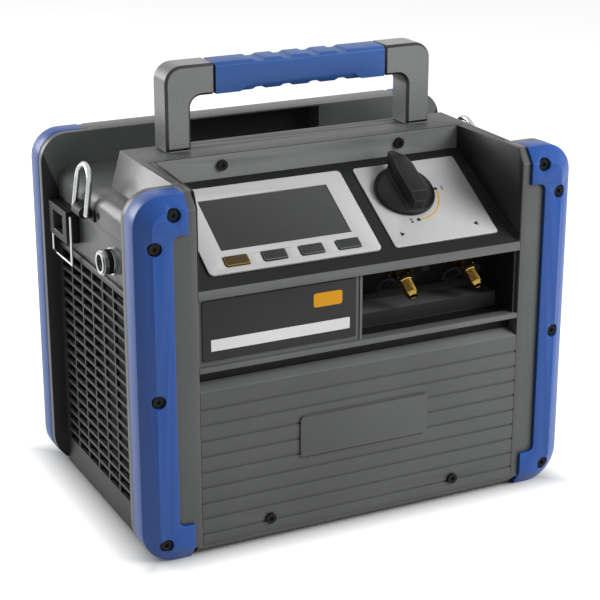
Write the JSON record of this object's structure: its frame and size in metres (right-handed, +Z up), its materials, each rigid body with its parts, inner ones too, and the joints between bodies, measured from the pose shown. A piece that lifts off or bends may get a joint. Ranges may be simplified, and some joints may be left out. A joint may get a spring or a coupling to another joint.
{
  "type": "refrigerant recovery machine",
  "caption": "Portable recovery machine with corner bumpers, a carrying handle, a sloping display and selector panel, a recessed bay with flare ports, and slotted side grilles.",
  "frame": {"origin": "on the ground, under the middle of the machine", "axes": "+X to the machine's right seen from the front, +Y from the front to the back, +Z up"},
  "size_m": [0.4, 0.265, 0.3852],
  "materials": {
    "bumper_blue": "moulded, satin",
    "grip_blue": "soft touch",
    "frame_grey": "fine textured",
    "housing_grey": "fine textured",
    "grille_grey": "fine textured",
    "cover_grey": "fine textured",
    "panel_black": "fine textured",
    "plate_silver": "printed overlay",
    "screen_dark": "glossy",
    "key_amber": "translucent",
    "key_grey": "satin",
    "knob_black": "satin",
    "tether_black": "matte",
    "brass": "turned",
    "chrome": "polished",
    "steel": "turned",
    "screw_black": "black oxide",
    "sheet_black": "powder coat",
    "cast_alloy": "cast",
    "motor_black": "semi gloss",
    "coil_alloy": "finned",
    "copper": "drawn tube",
    "fan_plastic": "moulded",
    "board_green": "solder mask"
  },
  "bodies": {
    "machine": {"front_bumper_left": "bumper_blue", "front_bumper_right": "bumper_blue", "rear_bumper_left": "bumper_blue", "rear_bumper_right": "bumper_blue", "handle_grip": "grip_blue", "front_frame": "frame_grey", "rear_frame": "frame_grey", "top_cover": "housing_grey", "side_wall_left": "housing_grey", "side_wall_right": "housing_grey", "handle_frame": "housing_grey", "side_grille_left": "grille_grey", "side_grille_right": "grille_grey", "lower_panel": "cover_grey", "rear_panel": "cover_grey", "blank_plate": "cover_grey", "control_panel": "panel_black", "fitting_bay": "panel_black", "label_plate": "panel_black", "display_bezel": "plate_silver", "dial_plate": "plate_silver", "display_screen": "screen_dark", "relief_cap": "knob_black", "strap_base_left": "knob_black", "strap_base_right": "knob_black", "power_inlet": "knob_black", "port_tethers": "tether_black", "motor_mounts": "tether_black", "inlet_port": "brass", "outlet_port": "brass", "selector_valve": "brass", "float_socket": "chrome", "bumper_screws": "screw_black", "panel_screws": "screw_black", "deck_screws": "screw_black", "base_pan": "sheet_black", "board_bracket": "sheet_black", "crankcase": "cast_alloy", "front_cylinder": "cast_alloy", "rear_cylinder": "cast_alloy", "port_manifold": "cast_alloy", "drive_motor": "motor_black", "fan_motor": "motor_black", "condenser_coil": "coil_alloy", "pipework": "copper", "fan_shroud": "fan_plastic", "display_board": "board_green", "control_board": "board_green"},
    "selector": {"selector_knob": "knob_black", "selector_stem": "steel"},
    "strap_left": {"strap_ring_left": "chrome"},
    "strap_right": {"strap_ring_right": "chrome"},
    "bail": {"inlet_bail": "chrome"},
    "fan": {"fan_rotor": "fan_plastic"},
    "key_1_body": {"key_1": "key_amber"},
    "key_2_body": {"key_2": "key_grey"},
    "key_3_body": {"key_3": "key_grey"},
    "key_4_body": {"key_4": "key_grey"}
  },
  "joints": [
    {"name": "selector_turn", "type": "hinge", "parent": "machine", "child": "selector", "pos_m": [0.0675, -0.06932, 0.26843], "axis": [0, 0.5179, -0.8554], "range_deg": [0, 180]},
    {"name": "key_1_press", "type": "slide", "parent": "machine", "child": "key_1_body", "axis": [0, 0.5179, -0.8554], "range_m": [0, 0.001], "stiffness_N_per_m": 600},
    {"name": "key_2_press", "type": "slide", "parent": "machine", "child": "key_2_body", "axis": [0, 0.5179, -0.8554], "range_m": [0, 0.001], "stiffness_N_per_m": 600},
    {"name": "key_3_press", "type": "slide", "parent": "machine", "child": "key_3_body", "axis": [0, 0.5179, -0.8554], "range_m": [0, 0.001], "stiffness_N_per_m": 600},
    {"name": "key_4_press", "type": "slide", "parent": "machine", "child": "key_4_body", "axis": [0, 0.5179, -0.8554], "range_m": [0, 0.001], "stiffness_N_per_m": 600},
    {"name": "strap_left_swing", "type": "hinge", "parent": "machine", "child": "strap_left", "pos_m": [-0.1905, 0.024, 0.2632], "axis": [0, -1, 0], "range_deg": [0, 110]},
    {"name": "strap_right_swing", "type": "hinge", "parent": "machine", "child": "strap_right", "pos_m": [0.1905, 0.024, 0.2632], "axis": [0, 1, 0], "range_deg": [0, 110]},
    {"name": "bail_swing", "type": "hinge", "parent": "machine", "child": "bail", "pos_m": [-0.1925, 0.07, 0.2507], "axis": [0, 1, 0], "range_deg": [0, 100]},
    {"name": "fan_spin", "type": "hinge", "parent": "machine", "child": "fan", "pos_m": [0.118, 0, 0.116], "axis": [1, 0, 0], "continuous": true}
  ]
}
